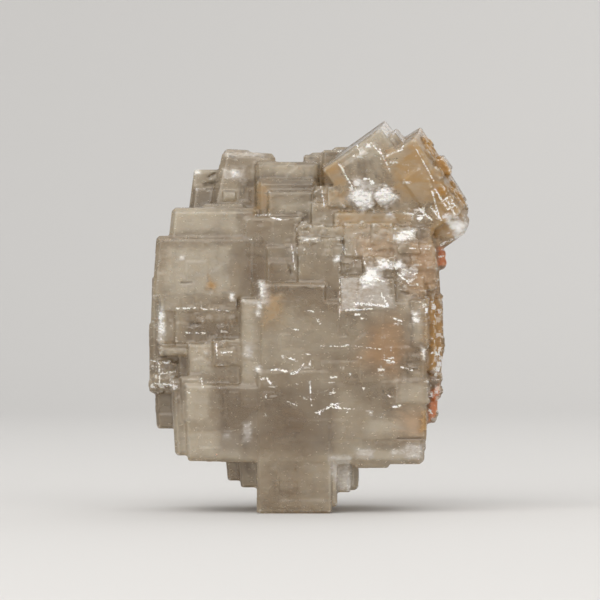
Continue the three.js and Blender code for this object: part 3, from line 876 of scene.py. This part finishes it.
def salt_marks(n, patterns):
    """How strong each mark is, with its outline broken up and with patches on the unmarked half."""
    marks = {"flawed": n.field("flawed")}
    for name, (amount, half_width) in MARK_EDGES.items():
        moved = n.math("MULTIPLY_ADD", patterns["uneven"], amount, n.field(name))
        marks[name] = n.stretched(moved, 0.5 - half_width, 0.5 + half_width)
    for name, (noise, begin, full) in FAR_PATCHES.items():
        patches = n.times(n.field("beyond"), n.stretched(patterns[noise], begin, full))
        marks[name] = n.most(marks[name], patches)
    marks["haze"] = n.times(marks["haze"], n.stretched(patterns["fine"], 0.3, 0.7, 0.6, 1.0))
    frost = n.math("ADD", patterns["drift"], patterns["fine"])
    marks["veil"] = n.times(marks["veil"], n.stretched(frost, 0.75, 1.15, 0.5, 1.0))
    return marks


def flashes(n, patterns, marks):
    """Painted glints from cleavage cracks and flakes, and white sugary grains."""
    place = patterns["place"]
    grit = patterns["grit"]
    broken = n.stretched(n.math("MULTIPLY_ADD", patterns["fine"], 0.8, grit), 0.7, 1.1, 0.35, 1.8)
    crack = n.stretched(n.times(n.field("bright_crack"), broken), 0.4, 0.75)
    sugar = flakes(n, place, SUGAR_CELLS, n.times(marks["sugar"], 0.9), grit, LARGEST_GRAIN)
    clusters = n.stretched(patterns["drift"], 0.4, 0.62, 0.1, 2.0)
    share = n.times(n.stretched(marks["flawed"], 0.25, 0.9, 0.0, 0.2), clusters)
    level = flakes(n, place, LEVEL_FLAKE_CELLS, share, grit, LARGEST_FLAKE)
    upright = flakes(n, place, UPRIGHT_FLAKE_CELLS, n.times(share, 0.4), grit, LARGEST_FLAKE)
    return n.most(crack, sugar, level, upright)


def painted_edge_highlight(n, fine):
    """Painted highlight along the edges, from where they stand out 0.03 mm to where they stand out 0.12 mm.
    """
    rim = n.times(n.stretched(fine, 0.35, 0.65, 0.2, 1.4), n.field("standing"))
    return n.stretched(rim, 0.03 * MM, 0.12 * MM, 0, 0.5)


def salt_colour(n, patterns, marks, white):
    """Tan to greyish salt under its clouds, its blocks and every mark, in layers."""
    drift = patterns["drift"]
    fine = patterns["fine"]
    layers = (
        (n.stretched(drift, 0.4, 0.75, 0, 0.3), MILK_AND_PAINTED_LIGHT),
        (n.stretched(fine, 0.45, 0.75, 0, 0.25), MILK_AND_PAINTED_LIGHT),
        (n.stretched(patterns["large blocks"], 0.0, 1.0, 0, 0.22), DARK_TONE_AND_PAINTED_SHADE),
        (n.stretched(patterns["small blocks"], 0.6, 1.0, 0, 0.2), MILK_AND_PAINTED_LIGHT),
        # painted light on the pale zones
        (n.times(marks["pale"], 0.5), MILK_AND_PAINTED_LIGHT),
        # painted shade on the dark zones
        (n.times(marks["dark"], 0.5), DARK_TONE_AND_PAINTED_SHADE),
        (n.times(marks["warm"], 0.5), WARM),
        (n.times(marks["honey"], n.stretched(drift, 0.35, 0.65, 0.4, 0.85)), HONEY),
        (n.times(marks["amber"], n.stretched(fine, 0.35, 0.65, 1.0, 0.6)), AMBER),
        (marks["red"], RUST),
        (n.times(n.field("dark_crack"), 0.8), DARK),
        (n.times(marks["haze"], 0.55), HAZE),
        # white veils and sugar, with painted edge highlights and painted glints
        (white, WHITE),
    )
    body = n.blend(n.stretched(patterns["cloud"], 0.32, 0.68), TAN, GREIGE)
    for amount, colour in layers:
        body = n.blend(amount, body, colour)
    return body


def milkiness(n, cloud, marks, white):
    """How much of the light is thrown back instead of going through."""
    return n.most(
        # painted glints and edge highlights are as milky as the white veils
        n.times(white, 0.8),
        n.times(n.most(marks["amber"], marks["red"]), 0.85),
        n.times(n.most(marks["warm"], marks["honey"]), 0.5),
        n.times(marks["haze"], 0.5),
        # painted light on the pale zones
        n.times(marks["pale"], 0.3),
        n.stretched(cloud, 0.35, 0.7, 0.0, 0.3),
    )


def halite():
    """Milky salt: part of the light goes through, part is scattered back by clouds and flaws."""
    n = Nodes("halite")
    patterns = salt_patterns(n)
    fine = patterns["fine"]
    marks = salt_marks(n, patterns)
    # White veils, painted highlights along the edges and painted glints from cracks and flakes
    white = n.most(marks["veil"], painted_edge_highlight(n, fine), flashes(n, patterns, marks))
    milky = milkiness(n, patterns["cloud"], marks, white)
    gloss = n.stretched(n.most(milky, fine), 0.35, 0.9, 0.12, 0.4)
    shader = n.add("ShaderNodeBsdfPrincipled")
    n.link(salt_colour(n, patterns, marks, white), shader.inputs["Base Color"])
    n.link(n.math("MULTIPLY_ADD", milky, -CLEARNESS, CLEARNESS), shader.inputs["Transmission Weight"])
    n.link(n.most(gloss, n.times(marks["honey"], 0.5)), shader.inputs["Roughness"])
    shader.inputs["IOR"].default_value = IOR
    shader.inputs["Subsurface Weight"].default_value = SCATTERING
    shader.inputs["Subsurface Radius"].default_value = SCATTERING_RADIUS
    shader.inputs["Subsurface Scale"].default_value = SCATTERING_DEPTH
    bump = n.add("ShaderNodeBump")
    bump.inputs["Strength"].default_value = BUMP_STRENGTH
    bump.inputs["Distance"].default_value = BUMP_HEIGHT
    n.link(n.math("MULTIPLY_ADD", patterns["small blocks"], BLOCK_BUMP, fine), bump.inputs["Height"])
    n.link(bump.outputs["Normal"], shader.inputs["Normal"])
    absorb = n.add("ShaderNodeVolumeAbsorption")
    absorb.inputs["Color"].default_value = ABSORPTION_COLOUR
    absorb.inputs["Density"].default_value = ABSORPTION_DENSITY
    out = n.add("ShaderNodeOutputMaterial")
    n.link(shader.outputs["BSDF"], out.inputs["Surface"])
    n.link(absorb.outputs["Volume"], out.inputs["Volume"])
    return n.material


def paper():
    """The backdrop's plain pale paper."""
    n = Nodes("backdrop paper")
    shader = n.add("ShaderNodeBsdfPrincipled")
    shader.inputs["Base Color"].default_value = PAPER
    shader.inputs["Roughness"].default_value = PAPER_ROUGHNESS
    out = n.add("ShaderNodeOutputMaterial")
    n.link(shader.outputs["BSDF"], out.inputs["Surface"])
    return n.material


def crystal():
    """The whole specimen in its fine form."""
    piece = fine_copy("halite_specimen")
    add_growth_steps(piece.data)
    sink_dark_cracks(piece.data)
    # how far the edges stand out, for the painted edge highlight
    add_point_field(piece.data, "standing", convexity(piece.data))
    thin_out(piece)
    add_marks(piece.data)
    piece.data.set_sharp_from_angle(angle=math.radians(SHARP_ANGLE))
    piece.data.materials.clear()
    piece.data.materials.append(halite())
    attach(piece, "root")
    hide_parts(NODE)


def backdrop():
    """A pale floor that sweeps up behind the specimen."""
    profile = [(FLOOR_FROM, 0.0), (FLOOR_TO, 0.0)]
    for part in range(1, SWEEP_PARTS + 1):
        angle = math.radians(90 * part / SWEEP_PARTS)
        depth = FLOOR_TO + SWEEP_RADIUS * math.sin(angle)
        profile.append((depth, SWEEP_RADIUS * (1 - math.cos(angle))))
    profile.append((FLOOR_TO + SWEEP_RADIUS, PAPER_HEIGHT))
    corners = [(x, y, z) for y, z in profile for x in (-PAPER_HALF_WIDTH, PAPER_HALF_WIDTH)]
    faces = [(2 * i, 2 * i + 1, 2 * i + 3, 2 * i + 2) for i in range(len(profile) - 1)]
    mesh = bpy.data.meshes.new("backdrop")
    mesh.from_pydata(corners, [], faces)
    for face in mesh.polygons:
        face.use_smooth = True
    mesh.materials.append(paper())
    sweep = bpy.data.objects.new("backdrop", mesh)
    bpy.context.scene.collection.objects.link(sweep)


def softbox(name, place, size, power, colour):
    """A square light that looks at the specimen's middle."""
    light = bpy.data.lights.new(name, "AREA")
    light.shape = "SQUARE"
    light.size = size
    light.energy = power
    light.color = colour
    lamp = bpy.data.objects.new(name, light)
    lamp.location = place
    lamp.rotation_euler = (VIEW_CENTRE - Vector(place)).to_track_quat("-Z", "Y").to_euler()
    bpy.context.scene.collection.objects.link(lamp)


def lights():
    """The soft lamps, and a faint even light from all sides."""
    for name, (place, size, power, colour) in LAMPS.items():
        softbox(name, place, size, power, colour)
    world = bpy.data.worlds.new("room")
    world.use_nodes = True
    background = world.node_tree.nodes["Background"]
    background.inputs["Color"].default_value = ROOM_COLOUR
    background.inputs["Strength"].default_value = ROOM_STRENGTH
    bpy.context.scene.world = world


def camera():
    """Looks along the second axis at the specimen's front."""
    data = bpy.data.cameras.new("view")
    data.sensor_width = SENSOR
    data.lens = LENS
    data.clip_end = FARTHEST
    eye = bpy.data.objects.new("view", data)
    distance = LENS / SENSOR * FRAME_WIDTH
    eye.location = VIEW_CENTRE - Vector((0, distance, 0))
    eye.rotation_euler = Euler((math.radians(90), 0, 0))
    bpy.context.scene.collection.objects.link(eye)
    bpy.context.scene.camera = eye


bpy.context.scene.view_settings.view_transform = "Standard"
camera()
backdrop()
lights()
crystal()
